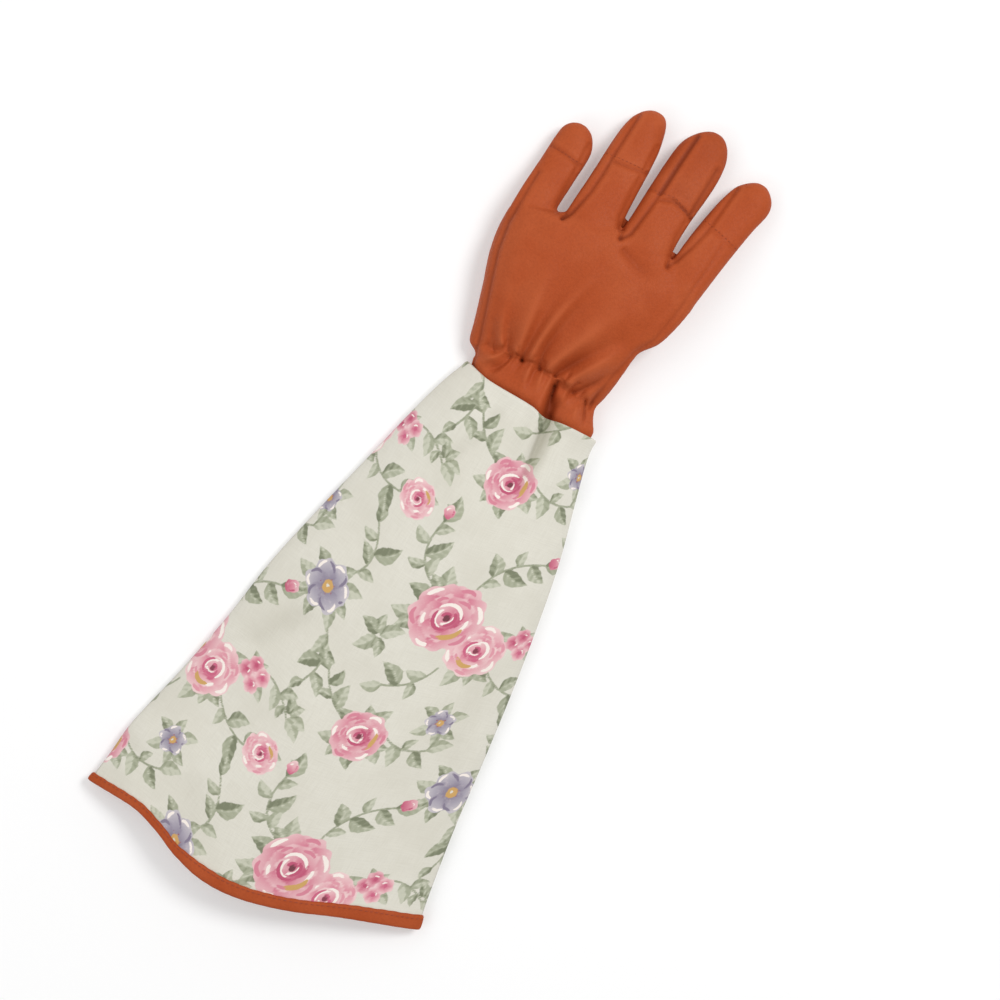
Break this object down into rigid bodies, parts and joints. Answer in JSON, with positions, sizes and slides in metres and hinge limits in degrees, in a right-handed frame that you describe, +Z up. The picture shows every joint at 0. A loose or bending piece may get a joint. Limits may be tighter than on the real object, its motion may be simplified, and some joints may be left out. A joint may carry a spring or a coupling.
{
  "type": "long gardening glove",
  "caption": "Left-hand gardening glove with a gathered leather hand and a long flared printed cotton cuff with a bound hem, lying back up.",
  "frame": {"origin": "bottom centre of the bounding box, on the surface that the glove lies on", "axes": "+Z up, +Y from the hem to the fingertips, +X towards the index finger's side"},
  "size_m": [0.2084, 0.5142, 0.035],
  "materials": {
    "leather": "soft grain, matt",
    "pads": "soft grain, padded",
    "binding": "thin folded leather strip",
    "cuff_cloth": "plain-woven cotton printed with roses"
  },
  "bodies": {
    "root": {"gauntlet": "cuff_cloth", "hem_binding": "binding", "hand_back": "leather", "hand_palm": "leather", "fourchette_pinky_ring": "leather", "fourchette_ring_middle": "leather", "fourchette_middle_index": "leather", "cap_pinky": "leather", "cap_ring": "leather", "cap_middle": "leather", "cap_index": "leather", "thumb": "leather", "thumb_cap": "leather", "pad_heel": "pads", "pad_oval": "pads"}
  },
  "joints": []
}
